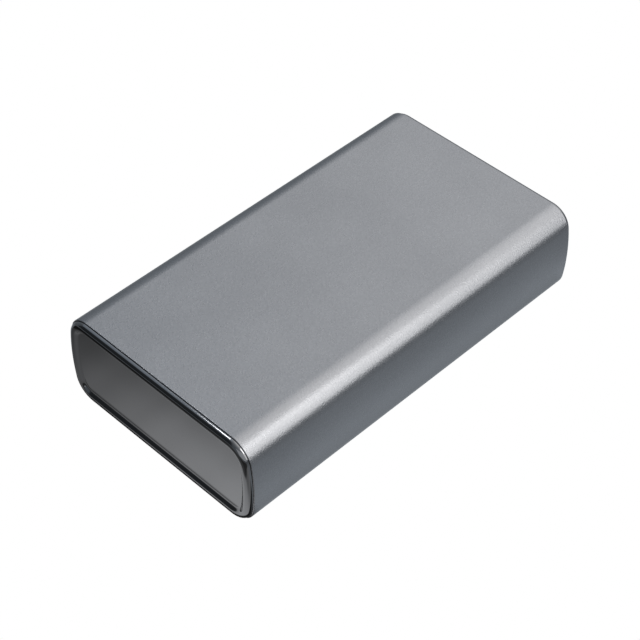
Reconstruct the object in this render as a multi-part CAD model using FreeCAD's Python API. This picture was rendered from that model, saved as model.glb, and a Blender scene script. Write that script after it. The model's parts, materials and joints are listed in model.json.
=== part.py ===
import FreeCAD, Part

import math
import os

# A pocket power bank: an extruded aluminium sleeve closed by two dished end caps.
# Millimetres. X is the width, Y the length and Z the height. The origin is the centre of
# the bottom face. The plain cap is at -Y and the cap with the sockets is at +Y.

# --- Driving dimensions: case -------------------------------------------------------------
WIDTH = 52.4
HEIGHT = 22.0
CORNER_RADIUS = 5.3
SIDE_RADIUS = 44.5            # the long sides bulge slightly
WALL = 1.2                    # sleeve
SLEEVE_END = 45.6
SLEEVE_CHAMFER = 0.15

CAP_GAP = 0.1                 # shadow line between the sleeve and a cap's rim
CAP_SHOULDER_INSET = 0.8
CAP_RIM_INSET = 0.3
CAP_CREST_INSET = 1.6
CAP_CREST_LAND = 0.2
CAP_CREST_Y = 46.75
CAP_FACE_INSET = 2.9
CAP_FACE_Y = 46.1
CAP_PLATE = 1.3
CAP_SKIRT_DEPTH = 4.0
CAP_SKIRT_WALL = 1.1
CAP_CLEARANCE = 0.1           # skirt to sleeve
SNAP_ARM_END_Y = 38.0
SNAP_ARM_X = 22.8
SNAP_ARM_THICKNESS = 1.0
SNAP_ARM_LOW_Z = 9.5
SNAP_ARM_HIGH_Z = 13.5
SNAP_HOOK = 0.7
SNAP_HOOK_LENGTH = 1.5
SNAP_PLAY = 0.2

TRAY_CLEARANCE = 0.2          # tray to sleeve
TRAY_WALL = 0.8
TRAY_END_Y = 41.4
TRAY_RIB_Y = 26.9
TRAY_TOP_OPENINGS = [(-39.4, 25.5), (29.5, 39.0)]
TRAY_OPENING_HALF_WIDTH = 19.0
TRAY_LEAD_OPENING = (-8.0, 5.0, 7.5, 13.0)          # x0, x1, z0, z1
TRAY_SENSOR_OPENING = (13.5, 18.5, 7.0, 12.0)
BOSS_RADIUS = 2.0
BOSS_FLOOR = 0.4
REST_X = 18.5
REST_Y = 40.0
REST_RADIUS = 1.2

# --- Driving dimensions: battery ----------------------------------------------------------
CELL_HALF_WIDTH = 22.0
CELL_THICKNESS = 8.3
CELL_EDGE_RADIUS = 2.0
CELL_REAR_Y = -40.5
CELL_FRONT_Y = 23.0
CELL_TAPE = 0.2
CELL_TAPE_HALF_WIDTH = 18.0
CELL_TAPE_SPAN = (-36.0, 19.0)
TERRACE_LENGTH = 1.4
TERRACE_THICKNESS = 0.6
TERRACE_HALF_WIDTH = 20.0
TAB_X = (-12.0, 12.0)
TAB_WIDTH = 5.0
TAB_SHEET = 0.15
TAB_OVERLAP = 0.7             # how far a turned tab stops from the protection board's middle
TRAY_TAPE = 0.15
PAD_X = 17.0
PAD_SPANS = [(-36.0, -12.0), (13.0, 21.0)]
PAD_PLAY = 0.2
WRAP = 0.1
WRAP_SPAN = (-8.0, 10.0)
CUSHION_WIDTH = 36.0
CUSHION_HEIGHT = 12.0
CUSHION_RADIUS = 2.0
CUSHION_PLAY = 0.2

PROTECTION_Y = 25.4
PROTECTION_THICKNESS = 0.8
PROTECTION_HALF_WIDTH = 20.0
PROTECTION_HALF_HEIGHT = 1.9
PROTECTION_CHIPS = [(-14.0, 2.9), (-9.5, 3.0), (8.5, 3.0)]      # x and width
PROTECTION_CHIP_RISE = 0.6
PROTECTION_CHIP_HEIGHT = 2.6
PAPER_SPAN = (24.6, 24.8)
PAPER_MARGIN = 0.5
PAPER_SLOT_PLAY = 0.3
PAPER_SLOT_HEIGHT = 0.8

THERMISTOR_X = 16.0
THERMISTOR_DROP = 3.2         # under the protection board's middle
THERMISTOR_RADIUS = 0.9
THERMISTOR_SPAN = (24.5, 25.3)
THERMISTOR_HOLE_RADIUS = 1.2
THERMISTOR_LEAD_RADIUS = 0.2
THERMISTOR_LEAD_SPACING = 0.9
THERMISTOR_LEAD_RUN = [25.2, 26.4, 27.6, 29.2, 30.2]            # y of each point
LEAD_RADIUS = 0.7
LEAD_RUN = [1.2, 2.6, 3.8, 4.8]                                 # y from the protection board
POSITIVE_LEAD_X = (-5.0, -5.6)                                  # at each of its ends
NEGATIVE_LEAD_X = (1.5, 1.8)

# --- Driving dimensions: main board -------------------------------------------------------
BOARD_TOP_Z = 8.1
BOARD_THICKNESS = 1.2
BOARD_HALF_WIDTH = 22.6
BOARD_REAR_Y = 28.0
BOARD_FRONT_Y = 43.4
BOARD_CORNER_RADIUS = 0.8
SCREW_X = 20.6
SCREW_Y = 30.1
SCREW_RADIUS = 0.8
SCREW_HOLE_RADIUS = 1.0
SCREW_HEAD_RADIUS = 1.4
SCREW_HEAD = 0.9
SCREW_HEAD_ROUNDING = 0.4
SCREW_TIP = 0.6               # over the tray's floor
RECESS_LENGTH = 1.6
RECESS_WIDTH = 0.4
RECESS_FLOOR = 0.4

CONTROLLER_PLACE = (-2.2, 33.8)
CONTROLLER_SIZE = (5.0, 5.0, 0.9)
INDUCTOR_X = 7.6
INDUCTOR_Y = 33.0
INDUCTOR_SIZE = 7.0
INDUCTOR_HEIGHT = 3.8
INDUCTOR_CHAMFER = 1.0
INDUCTOR_TERMINAL = (1.8, 3.0, 0.2)
LED_Y = 41.2
LED_SIZE = (1.6, 0.8, 0.6)
CAPACITOR_PLACES = [(-5.4 + 2.1 * i, 37.2) for i in range(5)]
CAPACITOR_SIZE = (1.6, 0.8, 0.8)
RESISTOR_PLACES = [(-7.0 + 2.4 * i, 30.4) for i in range(6)]
RESISTOR_SIZE = (1.6, 0.8, 0.45)
OUTPUT_CAPACITOR_PLACES = [(-12.0 + 4.5 * i, 37.5) for i in range(4)]
OUTPUT_CAPACITOR_SIZE = (3.2, 2.5, 2.0)
TRANSISTOR_PLACES = [(6.5 + 5.0 * i, 36.0) for i in range(2)]
TRANSISTOR_SIZE = (3.3, 3.3, 0.9)

# --- Driving dimensions: sockets ----------------------------------------------------------
PORT_PLAY = 0.15              # round each socket's shell in the cap
USB_A_X = -14.0
USB_A_SIZE = (13.1, 5.7)      # width and height of the shell
USB_A_DEPTH = 14.0
USB_A_SHEET = 0.3
USB_A_CORNER_RADIUS = 0.6
USB_A_FRONT_Y = 45.6
USB_A_LEG_Y = (34.5, 40.5)
USB_A_LEG_WIDTH = 1.5
USB_A_LEG_BELOW = 0.5
USB_A_PIN_EXIT = (10.0, 2.2, 0.35)                              # width, depth, height
USB_A_BLOCK = 3.1             # depth of the insulator's rear block
USB_A_BLOCK_DROP = 0.3
USB_A_TONGUE = (11.1, 1.85)
USB_A_TONGUE_RISE = 0.9
USB_A_TONGUE_BACK = 0.7       # behind the shell's front
USB_A_PLAY = 0.05
USB_A_CONTACT_X = [-3.5, -1.0, 1.0, 3.5]
USB_A_CONTACT = (1.0, 0.15)
USB_A_CONTACT_BACK = 0.6      # behind the tongue's front
USB_A_PIN = 0.6
USB_A_PIN_SHEET = 0.4
USB_A_PIN_START = 1.0

USB_C_X = 0.5
USB_C_SIZE = (8.94, 3.2)
USB_C_DEPTH = 7.35
USB_C_SHEET = 0.25
USB_C_FRONT_Y = 45.7
USB_C_LEG_Y = (39.4, 42.6)
USB_C_LEG_WIDTH = 1.0
USB_C_LEG_BELOW = 0.3
USB_C_BLOCK = 2.6
USB_C_PLAY = 0.05
USB_C_TONGUE = (6.7, 0.7)
USB_C_TONGUE_BACK = 0.8
USB_C_TONGUE_ROUNDING = 0.2
USB_C_PITCH = 0.5
USB_C_CONTACTS = 12           # on each side of the tongue
USB_C_CONTACT = (0.24, 0.08)
USB_C_CONTACT_BACK = 0.4

# --- Driving dimensions: button, switch and light pipe ------------------------------------
AXIS_Z = 11.0                 # button and light pipe
BUTTON_X = 18.5
BUTTON_RADIUS = 3.2
BUTTON_ROUNDING = 0.35
BUTTON_PLAY = 0.08
BUTTON_FLANGE_RADIUS = 3.9
BUTTON_FLANGE = 0.85
BUTTON_STEM_RADIUS = 1.4
BUTTON_STAND_OUT = 0.2        # over the cap's face
REST_GAP = 0.02               # between pieces that touch at rest
SWITCH_HALF = 2.9
SWITCH_REAR_Y = 37.6
SWITCH_FRONT_Y = 40.6
SWITCH_COVER = 0.2
SWITCH_COVER_PLAY = 0.06
SWITCH_STRAP_START = 0.6
SWITCH_STRAP_HALF_HEIGHT = 1.2
SWITCH_CAVITY_Y = 39.2
SWITCH_CAVITY_RADIUS = 2.3
SWITCH_PIN_X = 2.3
SWITCH_PIN_SPAN = (38.4, 38.7)
SWITCH_PIN_HALF_WIDTH = 0.35
SWITCH_PIN_BELOW = 0.5
SWITCH_PIN_ABOVE = 0.8
DOME_RADIUS = 2.1
DOME_RISE = 0.55
DOME_SHEET = 0.1
PLUNGER_RADIUS = 1.5
PLUNGER_FLANGE = 0.4
PLUNGER_FLANGE_PLAY = 0.03
PLUNGER_TIP_Y = 42.83
LIGHT_X = [7.4, 9.4, 11.4, 13.4]
LIGHT_RADIUS = 0.75
LIGHT_PLAY = 0.05
LIGHT_STAND_OUT = 0.05
LIGHT_PIN_START = 41.0
LIGHT_MARGINS = (1.0, 0.8)    # beyond the first and the last pin
LIGHT_HALF_HEIGHT = 1.0
LIGHT_SHOULDER_START = 43.9
LIGHT_BLOCK_SPAN = (40.2, 42.2)
LIGHT_BLOCK_OVER_BOARD = 0.9

# --- Worked out ---------------------------------------------------------------------------
SIDE_CENTRE_X = WIDTH / 2 - SIDE_RADIUS
CORNER_CENTRE_Z = HEIGHT - CORNER_RADIUS
CORNER_CENTRE_X = SIDE_CENTRE_X + math.sqrt(
    (SIDE_RADIUS - CORNER_RADIUS) ** 2 - (HEIGHT / 2 - CORNER_RADIUS) ** 2
)
CAP_RIM_Y = SLEEVE_END + CAP_GAP
CAP_PLATE_Y = CAP_FACE_Y - CAP_PLATE
CAP_SKIRT_INSET = WALL + CAP_CLEARANCE
CAP_SKIRT_Y = SLEEVE_END - CAP_SKIRT_DEPTH
TRAY_INSET = WALL + TRAY_CLEARANCE
TRAY_FLOOR_Z = TRAY_INSET + TRAY_WALL
BOARD_BOTTOM_Z = BOARD_TOP_Z - BOARD_THICKNESS
LOWER_CELL_Z = TRAY_FLOOR_Z + TRAY_TAPE
CELL_TAPE_Z = LOWER_CELL_Z + CELL_THICKNESS
UPPER_CELL_Z = CELL_TAPE_Z + CELL_TAPE
PACK_TOP_Z = UPPER_CELL_Z + CELL_THICKNESS
PROTECTION_Z = CELL_TAPE_Z + CELL_TAPE / 2
PROTECTION_FRONT_Y = PROTECTION_Y + PROTECTION_THICKNESS
THERMISTOR_Z = PROTECTION_Z - THERMISTOR_DROP
USB_A_Z = BOARD_TOP_Z + USB_A_SIZE[1] / 2
USB_A_REAR_Y = USB_A_FRONT_Y - USB_A_DEPTH
USB_A_TONGUE_Z = USB_A_Z + USB_A_TONGUE_RISE
USB_A_TONGUE_FRONT_Y = USB_A_FRONT_Y - USB_A_TONGUE_BACK
USB_C_Z = BOARD_TOP_Z + USB_C_SIZE[1] / 2
USB_C_REAR_Y = USB_C_FRONT_Y - USB_C_DEPTH
USB_C_TONGUE_FRONT_Y = USB_C_FRONT_Y - USB_C_TONGUE_BACK
SWITCH_TOP_Z = BOARD_TOP_Z + 2 * SWITCH_HALF

BEYOND = 1.0                  # how far a cutting shape passes the face that it cuts
BITE = 0.1                    # how far two shapes overlap where they are joined


# --- Shapes -------------------------------------------------------------------------------
def vec(x, y, z):
    return FreeCAD.Vector(x, y, z)


def box(x0, x1, y0, y1, z0, z1):
    return Part.makeBox(x1 - x0, y1 - y0, z1 - z0, vec(x0, y0, z0))


def rod_y(x, z, radius, y0, y1):
    return Part.makeCylinder(radius, y1 - y0, vec(x, y0, z), vec(0, 1, 0))


def rod_z(x, y, radius, z0, z1):
    return Part.makeCylinder(radius, z1 - z0, vec(x, y, z0), vec(0, 0, 1))


def fuse(shapes):
    return shapes[0].multiFuse(shapes[1:]).removeSplitter()


def upright_edges(shape):
    return [e for e in shape.Edges if abs(e.Vertexes[0].Z - e.Vertexes[-1].Z) > 1e-6]


def bar(x, z, width, height, radius, y0, y1):
    """A bar along Y, centred on x and z, with its four long edges rounded."""
    plain = box(x - width / 2, x + width / 2, y0, y1, z - height / 2, z + height / 2)
    edges = [e for e in plain.Edges if abs(e.Vertexes[0].Y - e.Vertexes[1].Y) > 1e-6]
    return plain.makeFillet(radius, edges)


def slot_bar(x, z, width, height, y0, y1):
    """A bar along Y with fully rounded ends."""
    radius = height / 2
    middle = box(x - width / 2 + radius, x + width / 2 - radius, y0, y1, z - radius, z + radius)
    left = rod_y(x - width / 2 + radius, z, radius, y0, y1)
    right = rod_y(x + width / 2 - radius, z, radius, y0, y1)
    return fuse([middle, left, right])


def outline(inset, y):
    """The case's cross-section at y, moved inwards by inset: flat top and bottom, bulging sides."""
    corner = CORNER_RADIUS - inset
    side = SIDE_RADIUS - inset
    middle = HEIGHT / 2
    join = math.atan2(CORNER_CENTRE_Z - middle, CORNER_CENTRE_X - SIDE_CENTRE_X)
    half_turn = (math.pi / 2 + join) / 2

    def on_corner(angle, sx, sz):
        x = CORNER_CENTRE_X + corner * math.cos(angle)
        z = CORNER_CENTRE_Z - middle + corner * math.sin(angle)
        return vec(sx * x, y, middle + sz * z)

    def corner_arc(sx, sz):
        top, half, low = (on_corner(a, sx, sz) for a in (math.pi / 2, half_turn, join))
        return Part.Arc(top, half, low).toShape()

    def side_arc(sx):
        bulge = vec(sx * (SIDE_CENTRE_X + side), y, middle)
        return Part.Arc(on_corner(join, sx, 1), bulge, on_corner(join, sx, -1)).toShape()

    def flat(sz):
        ends = [on_corner(math.pi / 2, sx, sz) for sx in (-1, 1)]
        return Part.makeLine(ends[0], ends[1])

    edges = [flat(1), corner_arc(1, 1), side_arc(1), corner_arc(1, -1)]
    edges += [flat(-1), corner_arc(-1, -1), side_arc(-1), corner_arc(-1, 1)]
    return Part.Wire(Part.__sortEdges__(edges))


def prism(inset, y0, y1):
    return Part.Face(outline(inset, y0)).extrude(vec(0, y1 - y0, 0))


def stack(sections, ruled):
    """A solid through the case's outline at each (inset, y)."""
    return Part.makeLoft([outline(inset, y) for inset, y in sections], True, ruled)


def both_sides(shape):
    return [shape, shape.mirror(vec(0, 0, 0), vec(1, 0, 0))]


def pipe(points, radius):
    """A round lead through the points, leaving the first and reaching the last along Y."""
    along = vec(0, 1, 0)
    curve = Part.BSplineCurve()
    curve.interpolate(Points=points, InitialTangent=along, FinalTangent=along)
    ring = Part.Wire(Part.makeCircle(radius, points[0], along))
    return Part.Wire(curve.toShape()).makePipeShell([ring], True, False)


# --- Case ---------------------------------------------------------------------------------
def sleeve():
    straight = SLEEVE_END - SLEEVE_CHAMFER
    sections = [(SLEEVE_CHAMFER, -SLEEVE_END), (0, -straight)]
    sections += [(0, straight), (SLEEVE_CHAMFER, SLEEVE_END)]
    bore = prism(WALL, -SLEEVE_END - BEYOND, SLEEVE_END + BEYOND)
    return stack(sections, True).cut(bore)


def snap_arm():
    """An arm on a cap's inner side, with a hook that catches in the tray's window."""
    x1 = SNAP_ARM_X + SNAP_ARM_THICKNESS
    y0 = SNAP_ARM_END_Y
    arm = box(SNAP_ARM_X, x1, y0, CAP_PLATE_Y + BITE, SNAP_ARM_LOW_Z, SNAP_ARM_HIGH_Z)
    catch_y = y0 + SNAP_HOOK_LENGTH
    corners = [(x1 - BITE, y0), (x1, y0), (x1 + SNAP_HOOK, catch_y), (x1 - BITE, catch_y)]
    points = [vec(x, y, SNAP_ARM_LOW_Z) for x, y in corners]
    hook = Part.Face(Part.makePolygon(points + points[:1]))
    return arm.fuse(hook.extrude(vec(0, 0, SNAP_ARM_HIGH_Z - SNAP_ARM_LOW_Z)))


def rim_sections():
    """A quarter of an ellipse from the cap's edge up to its crest."""
    steps = 4
    run = CAP_CREST_INSET - CAP_CREST_LAND / 2 - CAP_RIM_INSET
    rise = CAP_CREST_Y - CAP_RIM_Y
    angles = [math.pi / 2 * i / steps for i in range(steps + 1)]
    return [(CAP_RIM_INSET + run * (1 - math.cos(a)), CAP_RIM_Y + rise * math.sin(a)) for a in angles]


def dish_sections():
    """A soft step from the cap's crest down to its flat face."""
    steps = 8
    start = CAP_CREST_INSET + CAP_CREST_LAND / 2
    run = CAP_FACE_INSET - start
    depth = CAP_CREST_Y - CAP_FACE_Y
    shares = [i / steps for i in range(steps + 1)]
    return [(start + run * t, CAP_CREST_Y - depth * (1 - math.cos(math.pi * t)) / 2) for t in shares]


def end_cap():
    """A cap at the +Y end: rounded rim, dished face, skirt inside the sleeve and two snap arms."""
    shoulder = prism(CAP_SHOULDER_INSET, SLEEVE_END, CAP_RIM_Y)
    plug = prism(CAP_SKIRT_INSET, CAP_SKIRT_Y, SLEEVE_END)
    hollow = prism(CAP_SKIRT_INSET + CAP_SKIRT_WALL, CAP_SKIRT_Y - BEYOND, CAP_PLATE_Y)
    skirt = plug.cut(hollow)
    solid = fuse([stack(rim_sections(), False), shoulder, skirt] + both_sides(snap_arm()))
    return solid.cut(stack(dish_sections(), False))


def plain_end_cap():
    return end_cap().mirror(vec(0, 0, 0), vec(0, 1, 0))


def port_end_cap():
    y0 = CAP_PLATE_Y - BEYOND
    y1 = CAP_CREST_Y + BEYOND
    usb_a_width, usb_a_height = (size + 2 * PORT_PLAY for size in USB_A_SIZE)
    usb_a_radius = USB_A_CORNER_RADIUS + PORT_PLAY
    usb_a = bar(USB_A_X, USB_A_Z, usb_a_width, usb_a_height, usb_a_radius, y0, y1)
    usb_c_width, usb_c_height = (size + 2 * PORT_PLAY for size in USB_C_SIZE)
    usb_c = slot_bar(USB_C_X, USB_C_Z, usb_c_width, usb_c_height, y0, y1)
    button = rod_y(BUTTON_X, AXIS_Z, BUTTON_RADIUS + BUTTON_PLAY, y0, y1)
    lights = [rod_y(x, AXIS_Z, LIGHT_RADIUS + LIGHT_PLAY, y0, y1) for x in LIGHT_X]
    return end_cap().cut([usb_a, usb_c, button] + lights)


def inner_tray():
    """A chassis for the cells and the board: a thin tube with open tops, a rib and board rests."""
    inside = prism(TRAY_INSET + BITE, -TRAY_END_Y, TRAY_END_Y)
    tube = prism(TRAY_INSET, -TRAY_END_Y, TRAY_END_Y)
    tube = tube.cut(prism(TRAY_FLOOR_Z, -TRAY_END_Y - BEYOND, TRAY_END_Y + BEYOND))
    rib_front_y = TRAY_RIB_Y + TRAY_WALL
    rib = prism(TRAY_INSET + BITE, TRAY_RIB_Y, rib_front_y)
    rests = both_sides(rod_z(SCREW_X, SCREW_Y, BOSS_RADIUS, TRAY_INSET, BOARD_BOTTOM_Z))
    rests += both_sides(rod_z(REST_X, REST_Y, REST_RADIUS, TRAY_INSET, BOARD_BOTTOM_Z))
    solid = fuse([tube, rib] + [rest.common(inside) for rest in rests])

    openings = []
    half = TRAY_OPENING_HALF_WIDTH
    for y0, y1 in TRAY_TOP_OPENINGS:
        openings.append(box(-half, half, y0, y1, CORNER_CENTRE_Z, HEIGHT))
    for x0, x1, z0, z1 in (TRAY_LEAD_OPENING, TRAY_SENSOR_OPENING):
        openings.append(box(x0, x1, TRAY_RIB_Y - BEYOND, rib_front_y + BEYOND, z0, z1))

    pilot_z = TRAY_FLOOR_Z + BOSS_FLOOR
    pilots = both_sides(rod_z(SCREW_X, SCREW_Y, SCREW_RADIUS, pilot_z, BOARD_BOTTOM_Z + BEYOND))

    window_start = SNAP_ARM_END_Y - SNAP_PLAY
    window_end = SNAP_ARM_END_Y + SNAP_HOOK_LENGTH + SNAP_PLAY
    low = SNAP_ARM_LOW_Z - SNAP_PLAY
    high = SNAP_ARM_HIGH_Z + SNAP_PLAY
    windows = []
    for y0, y1 in ((window_start, window_end), (-window_end, -window_start)):
        windows += both_sides(box(SNAP_ARM_X + SNAP_PLAY, WIDTH / 2, y0, y1, low, high))
    return solid.cut(openings + pilots + windows)


# --- Battery ------------------------------------------------------------------------------
def cell(z0, outer_z):
    """A pouch cell from z0 up, with its sealed terrace, and its long edges at outer_z rounded."""
    z1 = z0 + CELL_THICKNESS
    body = box(-CELL_HALF_WIDTH, CELL_HALF_WIDTH, CELL_REAR_Y, CELL_FRONT_Y, z0, z1)
    edges = []
    for edge in body.Edges:
        a, b = (v.Point for v in edge.Vertexes)
        if abs(a.y - b.y) > 1 and abs(a.z - outer_z) < 1e-6 and abs(b.z - outer_z) < 1e-6:
            edges.append(edge)
    body = body.makeFillet(CELL_EDGE_RADIUS, edges)
    middle = (z0 + z1) / 2
    half = TERRACE_THICKNESS / 2
    y0 = CELL_FRONT_Y - BITE
    y1 = CELL_FRONT_Y + TERRACE_LENGTH
    terrace = box(-TERRACE_HALF_WIDTH, TERRACE_HALF_WIDTH, y0, y1, middle - half, middle + half)
    return fuse([body, terrace])


def cell_tabs(cell_z, direction):
    """Two nickel tabs from a cell's terrace, turned up or down onto the protection board."""
    z = cell_z + CELL_THICKNESS / 2
    half = TAB_SHEET / 2
    y0 = CELL_FRONT_Y + TERRACE_LENGTH
    low, high = sorted((z, PROTECTION_Z - direction * TAB_OVERLAP))
    tabs = []
    for x in TAB_X:
        x0 = x - TAB_WIDTH / 2
        x1 = x + TAB_WIDTH / 2
        reach = box(x0, x1, y0, PROTECTION_Y, z - half, z + half)
        turned = box(x0, x1, PROTECTION_Y - TAB_SHEET, PROTECTION_Y, low, high)
        tabs.append(fuse([reach, turned]))
    return Part.makeCompound(tabs)


def protection_board():
    half_width = PROTECTION_HALF_WIDTH
    half = PROTECTION_HALF_HEIGHT
    y1 = PROTECTION_FRONT_Y
    return box(-half_width, half_width, PROTECTION_Y, y1, PROTECTION_Z - half, PROTECTION_Z + half)


def protection_chips():
    """A protection controller and two transistors, on the protection board's front."""
    y0 = PROTECTION_FRONT_Y
    y1 = y0 + PROTECTION_CHIP_RISE
    half = PROTECTION_CHIP_HEIGHT / 2
    return Part.makeCompound([
        box(x - width / 2, x + width / 2, y0, y1, PROTECTION_Z - half, PROTECTION_Z + half)
        for x, width in PROTECTION_CHIPS
    ])


def insulation_paper():
    """A sheet between the cells' terraces and the protection board, slotted for the tabs."""
    y0, y1 = PAPER_SPAN
    half_width = PROTECTION_HALF_WIDTH
    sheet = box(-half_width, half_width, y0, y1, LOWER_CELL_Z + PAPER_MARGIN, PACK_TOP_Z - PAPER_MARGIN)
    slots = []
    half = TAB_WIDTH / 2 + PAPER_SLOT_PLAY
    rise = PAPER_SLOT_HEIGHT / 2
    for x in TAB_X:
        for z in (LOWER_CELL_Z + CELL_THICKNESS / 2, UPPER_CELL_Z + CELL_THICKNESS / 2):
            slots.append(box(x - half, x + half, y0 - BEYOND, y1 + BEYOND, z - rise, z + rise))
    sensor = rod_y(THERMISTOR_X, THERMISTOR_Z, THERMISTOR_HOLE_RADIUS, y0 - BEYOND, y1 + BEYOND)
    return sheet.cut(slots + [sensor])


def cell_tape():
    y0, y1 = CELL_TAPE_SPAN
    return box(-CELL_TAPE_HALF_WIDTH, CELL_TAPE_HALF_WIDTH, y0, y1, CELL_TAPE_Z, UPPER_CELL_Z)


def tray_tape():
    strips = [box(-PAD_X, PAD_X, y0, y1, TRAY_FLOOR_Z, LOWER_CELL_Z) for y0, y1 in PAD_SPANS]
    return Part.makeCompound(strips)


def top_foam_pads():
    top = HEIGHT - WALL - PAD_PLAY
    pads = [box(-PAD_X, PAD_X, y0, y1, PACK_TOP_Z, top) for y0, y1 in PAD_SPANS]
    return Part.makeCompound(pads)


def wrap_tape():
    """A band of tape round both cells."""
    z = (LOWER_CELL_Z + PACK_TOP_Z) / 2
    width = 2 * CELL_HALF_WIDTH
    height = PACK_TOP_Z - LOWER_CELL_Z
    y0, y1 = WRAP_SPAN
    outer = bar(0, z, width + 2 * WRAP, height + 2 * WRAP, CELL_EDGE_RADIUS + WRAP, y0, y1)
    return outer.cut(bar(0, z, width, height, CELL_EDGE_RADIUS, y0 - BEYOND, y1 + BEYOND))


def end_cushion():
    y0 = CUSHION_PLAY - CAP_PLATE_Y
    return bar(0, HEIGHT / 2, CUSHION_WIDTH, CUSHION_HEIGHT, CUSHION_RADIUS, y0, CELL_REAR_Y)


def thermistor():
    """A bead against the lower cell's terrace, with two leads back to the main board."""
    y0, y1 = THERMISTOR_SPAN
    parts = [rod_y(THERMISTOR_X, THERMISTOR_Z, THERMISTOR_RADIUS, y0, y1)]
    board_z = BOARD_TOP_Z + THERMISTOR_LEAD_RADIUS + 0.05
    heights = [THERMISTOR_Z, THERMISTOR_Z + 0.2, board_z + 0.5, board_z, board_z]
    for side in (-1, 1):
        x = THERMISTOR_X + side * THERMISTOR_LEAD_SPACING / 2
        points = [vec(x, y, z) for y, z in zip(THERMISTOR_LEAD_RUN, heights)]
        parts.append(pipe(points, THERMISTOR_LEAD_RADIUS))
    return fuse(parts)


def battery_lead(start_x, board_x):
    """An insulated lead from the protection board, through the tray's rib, onto the main board."""
    board_z = BOARD_TOP_Z + LEAD_RADIUS + 0.05
    middle = vec((start_x + board_x) / 2, 0, (PROTECTION_Z + board_z) / 2)
    out_y, middle_y, down_y, end_y = (PROTECTION_FRONT_Y + run for run in LEAD_RUN)
    points = [
        vec(start_x, PROTECTION_FRONT_Y, PROTECTION_Z),
        vec(start_x, out_y, PROTECTION_Z),
        vec(middle.x, middle_y, middle.z),
        vec(board_x, down_y, board_z),
        vec(board_x, end_y, board_z),
    ]
    return pipe(points, LEAD_RADIUS)


# --- Main board ---------------------------------------------------------------------------
def screw_places():
    return [(SCREW_X, SCREW_Y), (-SCREW_X, SCREW_Y)]


def main_board():
    half = BOARD_HALF_WIDTH
    board = box(-half, half, BOARD_REAR_Y, BOARD_FRONT_Y, BOARD_BOTTOM_Z, BOARD_TOP_Z)
    board = board.makeFillet(BOARD_CORNER_RADIUS, upright_edges(board))
    holes = [rod_z(x, y, SCREW_HOLE_RADIUS, 0, HEIGHT) for x, y in screw_places()]
    return board.cut(holes + [usb_a_contacts(), usb_a_legs(), usb_c_legs(), switch_terminals()])


def board_screws():
    long = RECESS_LENGTH / 2
    thin = RECESS_WIDTH / 2
    low = BOARD_TOP_Z + RECESS_FLOOR
    high = BOARD_TOP_Z + SCREW_HEAD + BEYOND
    screws = []
    for x, y in screw_places():
        shank = rod_z(x, y, SCREW_RADIUS, TRAY_FLOOR_Z + SCREW_TIP, BOARD_TOP_Z)
        head = rod_z(x, y, SCREW_HEAD_RADIUS, BOARD_TOP_Z, BOARD_TOP_Z + SCREW_HEAD)
        head = head.makeFillet(SCREW_HEAD_ROUNDING, [head.Edges[0]])
        across = box(x - long, x + long, y - thin, y + thin, low, high)
        along = box(x - thin, x + thin, y - long, y + long, low, high)
        screws.append(fuse([shank, head]).cut([across, along]))
    return Part.makeCompound(screws)


def chips(places, size, top=True):
    """Like components on one side of the board, each centred on its (x, y)."""
    width, depth, height = size
    z0 = BOARD_TOP_Z if top else BOARD_BOTTOM_Z - height
    return Part.makeCompound([
        box(x - width / 2, x + width / 2, y - depth / 2, y + depth / 2, z0, z0 + height)
        for x, y in places
    ])


def power_inductor():
    half = INDUCTOR_SIZE / 2
    z0 = BOARD_TOP_Z + INDUCTOR_TERMINAL[2]
    z1 = z0 + INDUCTOR_HEIGHT
    core = box(INDUCTOR_X - half, INDUCTOR_X + half, INDUCTOR_Y - half, INDUCTOR_Y + half, z0, z1)
    return core.makeChamfer(INDUCTOR_CHAMFER, upright_edges(core))


def inductor_terminals():
    reach = (INDUCTOR_SIZE - INDUCTOR_TERMINAL[0]) / 2
    places = [(INDUCTOR_X - reach, INDUCTOR_Y), (INDUCTOR_X + reach, INDUCTOR_Y)]
    return chips(places, INDUCTOR_TERMINAL)


# --- USB-A socket -------------------------------------------------------------------------
def usb_a_legs():
    legs = []
    half = USB_A_SHEET / 2
    reach = USB_A_LEG_WIDTH / 2
    low = BOARD_BOTTOM_Z - USB_A_LEG_BELOW
    for side in (-1, 1):
        x = USB_A_X + side * (USB_A_SIZE[0] / 2 - half)
        for y in USB_A_LEG_Y:
            legs.append(box(x - half, x + half, y - reach, y + reach, low, BOARD_TOP_Z + BEYOND))
    return Part.makeCompound(legs)


def usb_a_shell():
    width, height = USB_A_SIZE
    sheet = USB_A_SHEET
    outer = bar(USB_A_X, USB_A_Z, width, height, USB_A_CORNER_RADIUS, USB_A_REAR_Y, USB_A_FRONT_Y)
    inner_radius = USB_A_CORNER_RADIUS - sheet
    inner_rear = USB_A_REAR_Y + sheet
    inner_front = USB_A_FRONT_Y + BEYOND
    inner = bar(
        USB_A_X, USB_A_Z, width - 2 * sheet, height - 2 * sheet, inner_radius, inner_rear, inner_front
    )
    exit_width, exit_depth, exit_height = USB_A_PIN_EXIT
    pin_exit = box(
        USB_A_X - exit_width / 2, USB_A_X + exit_width / 2,
        USB_A_REAR_Y - BEYOND, USB_A_REAR_Y + exit_depth,
        BOARD_TOP_Z - BEYOND, BOARD_TOP_Z + exit_height,
    )
    return fuse([outer.cut(inner)] + usb_a_legs().Solids).cut(pin_exit)


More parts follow.
